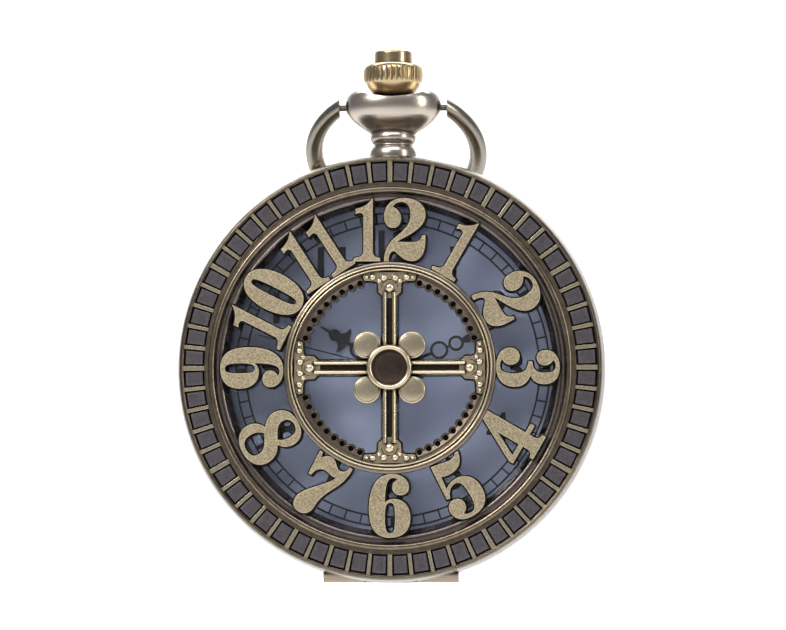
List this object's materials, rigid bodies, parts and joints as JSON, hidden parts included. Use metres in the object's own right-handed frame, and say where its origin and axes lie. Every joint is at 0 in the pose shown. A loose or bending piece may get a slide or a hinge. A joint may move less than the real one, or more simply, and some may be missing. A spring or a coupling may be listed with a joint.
{
  "type": "pocket watch",
  "caption": "Hunter-cased quartz pocket watch with an openwork hinged cover of large numerals, push-button crown, swinging bow and jump ring.",
  "frame": {"origin": "centre of the flat rest face on the case back", "axes": "+Z towards 12 o'clock and the crown, +X towards 3 o'clock, dial and cover face -Y; +Y is the outward normal of the case back"},
  "size_m": [0.047, 0.0213, 0.0593],
  "materials": {
    "antique_brass": "antique brass, dark patina in the recesses",
    "bright_brass": "pale polished brass with a fine grain",
    "gunmetal": "silvery gunmetal plate",
    "bronze": "aged bronze",
    "steel": "fine ground steel",
    "nickel": "nickel-plated brass plate",
    "train_brass": "clean brass",
    "black_steel": "black lacquer",
    "glass": "clear mineral glass",
    "enamel": "satin blue-white dial lacquer",
    "flange_white": "satin white",
    "holder_plastic": "moulded white plastic",
    "board": "green circuit board",
    "black_plastic": "black plastic",
    "magnet": "rotor magnet with steel pinion",
    "coil_wire": "enamelled copper winding"
  },
  "bodies": {
    "case": {"case_band": "antique_brass", "case_back": "antique_brass", "pendant": "gunmetal", "stem_sleeve": "steel", "crystal": "glass", "crystal_gasket": "black_plastic", "flange_ring": "flange_white", "dial": "enamel", "movement_holder": "holder_plastic", "main_plate": "nickel", "train_bridge": "nickel", "circuit_board": "board", "circuit_chip": "black_plastic", "quartz_can": "steel", "bridge_screws": "steel", "coil": "coil_wire", "coil_core": "steel", "stator": "steel", "battery": "steel", "battery_clamp": "steel", "hinge_pin": "steel"},
    "cover": {"cover_rim": "antique_brass", "cover_numerals": "bright_brass", "cover_inner_ring": "antique_brass", "cover_cross": "antique_brass"},
    "bow_body": {"bow": "gunmetal", "bow_pins": "gunmetal"},
    "jump_ring_body": {"jump_ring": "bronze"},
    "clutch": {"sliding_pinion": "steel"},
    "crown_body": {"stem": "steel", "crown": "bronze", "button_spring": "steel"},
    "button_body": {"button": "bronze", "push_rod": "steel", "release_pin": "steel", "push_collar": "steel"},
    "catch_body": {"catch": "steel"},
    "lever_body": {"setting_lever": "steel"},
    "seconds": {"seconds_wheel": "train_brass", "second_hand": "black_steel"},
    "intermediate": {"intermediate_wheel": "train_brass"},
    "rotor_body": {"rotor": "magnet"},
    "third": {"third_wheel": "train_brass"},
    "minutes": {"centre_wheel": "train_brass", "cannon_pinion": "train_brass", "minute_hand": "black_steel"},
    "minute_works": {"minute_wheel": "train_brass"},
    "hours": {"hour_wheel": "train_brass", "hour_hand": "black_steel"},
    "setting": {"setting_wheel": "train_brass"}
  },
  "joints": [
    {"name": "cover_hinge", "type": "hinge", "parent": "case", "child": "cover", "pos_m": [0, -0.00995, -0.02245], "axis": [1, 0, 0], "range_deg": [0, 110]},
    {"name": "bow_swing", "type": "hinge", "parent": "case", "child": "bow_body", "pos_m": [0, -0.0064, 0.02915], "axis": [1, 0, 0], "range_deg": [0, 220]},
    {"name": "jump_ring_swing", "type": "hinge", "parent": "bow_body", "child": "jump_ring_body", "pos_m": [-0.00808, 0.00236, 0.0218], "axis": [0.4321, 0.6912, -0.5792], "range_deg": [-8, 8]},
    {"name": "crown_turn", "type": "hinge", "parent": "case", "child": "clutch", "pos_m": [0, -0.0064, 0], "axis": [0, 0, 1], "continuous": true},
    {"name": "crown_pull", "type": "slide", "parent": "clutch", "child": "crown_body", "axis": [0, 0, 1], "range_m": [0, 0.001]},
    {"name": "button_press", "type": "slide", "parent": "crown_body", "child": "button_body", "axis": [0, 0, -1], "range_m": [0, 0.0008], "stiffness_N_per_m": 300, "springref_m": -0.0012, "deforming": ["button_spring"]},
    {"name": "catch_slide", "type": "slide", "parent": "case", "child": "catch_body", "axis": [0, 0, -1], "range_m": [0, 0.0008]},
    {"name": "setting_lever_turn", "type": "hinge", "parent": "case", "child": "lever_body", "pos_m": [0.0029, -0.0064, 0.0093], "axis": [0, 1, 0], "range_deg": [0, 22.6]},
    {"name": "seconds_turn", "type": "hinge", "parent": "case", "child": "seconds", "pos_m": [0, -0.006, 0], "axis": [0, 1, 0], "continuous": true},
    {"name": "intermediate_turn", "type": "hinge", "parent": "case", "child": "intermediate", "pos_m": [-0.00063, -0.0045, 0.00354], "axis": [0, 1, 0], "continuous": true},
    {"name": "rotor_turn", "type": "hinge", "parent": "case", "child": "rotor_body", "pos_m": [-0.00281, -0.0045, 0.00481], "axis": [0, 1, 0], "continuous": true},
    {"name": "third_turn", "type": "hinge", "parent": "case", "child": "third", "pos_m": [-0.00288, -0.0045, -0.00105], "axis": [0, 1, 0], "continuous": true},
    {"name": "minutes_turn", "type": "hinge", "parent": "case", "child": "minutes", "pos_m": [0, -0.006, 0], "axis": [0, 1, 0], "continuous": true},
    {"name": "minute_works_turn", "type": "hinge", "parent": "case", "child": "minute_works", "pos_m": [0.00144, -0.006, 0.00249], "axis": [0, 1, 0], "continuous": true},
    {"name": "hours_turn", "type": "hinge", "parent": "case", "child": "hours", "pos_m": [0, -0.007, 0], "axis": [0, 1, 0], "continuous": true},
    {"name": "setting_turn", "type": "hinge", "parent": "case", "child": "setting", "pos_m": [0, -0.006, 0.00553], "axis": [0, 1, 0], "continuous": true}
  ],
  "couplings": [
    {"joint": "catch_slide", "follows": "button_press", "ratio": 1},
    {"joint": "setting_lever_turn", "follows": "crown_pull", "rad_per_m": 391.8},
    {"joint": "intermediate_turn", "follows": "seconds_turn", "ratio": -5},
    {"joint": "rotor_turn", "follows": "seconds_turn", "ratio": 30},
    {"joint": "third_turn", "follows": "seconds_turn", "ratio": -0.13333},
    {"joint": "minutes_turn", "follows": "seconds_turn", "ratio": 0.016667},
    {"joint": "minute_works_turn", "follows": "seconds_turn", "ratio": -0.0055556},
    {"joint": "hours_turn", "follows": "seconds_turn", "ratio": 0.0013889},
    {"joint": "setting_turn", "follows": "seconds_turn", "ratio": 0.01}
  ]
}
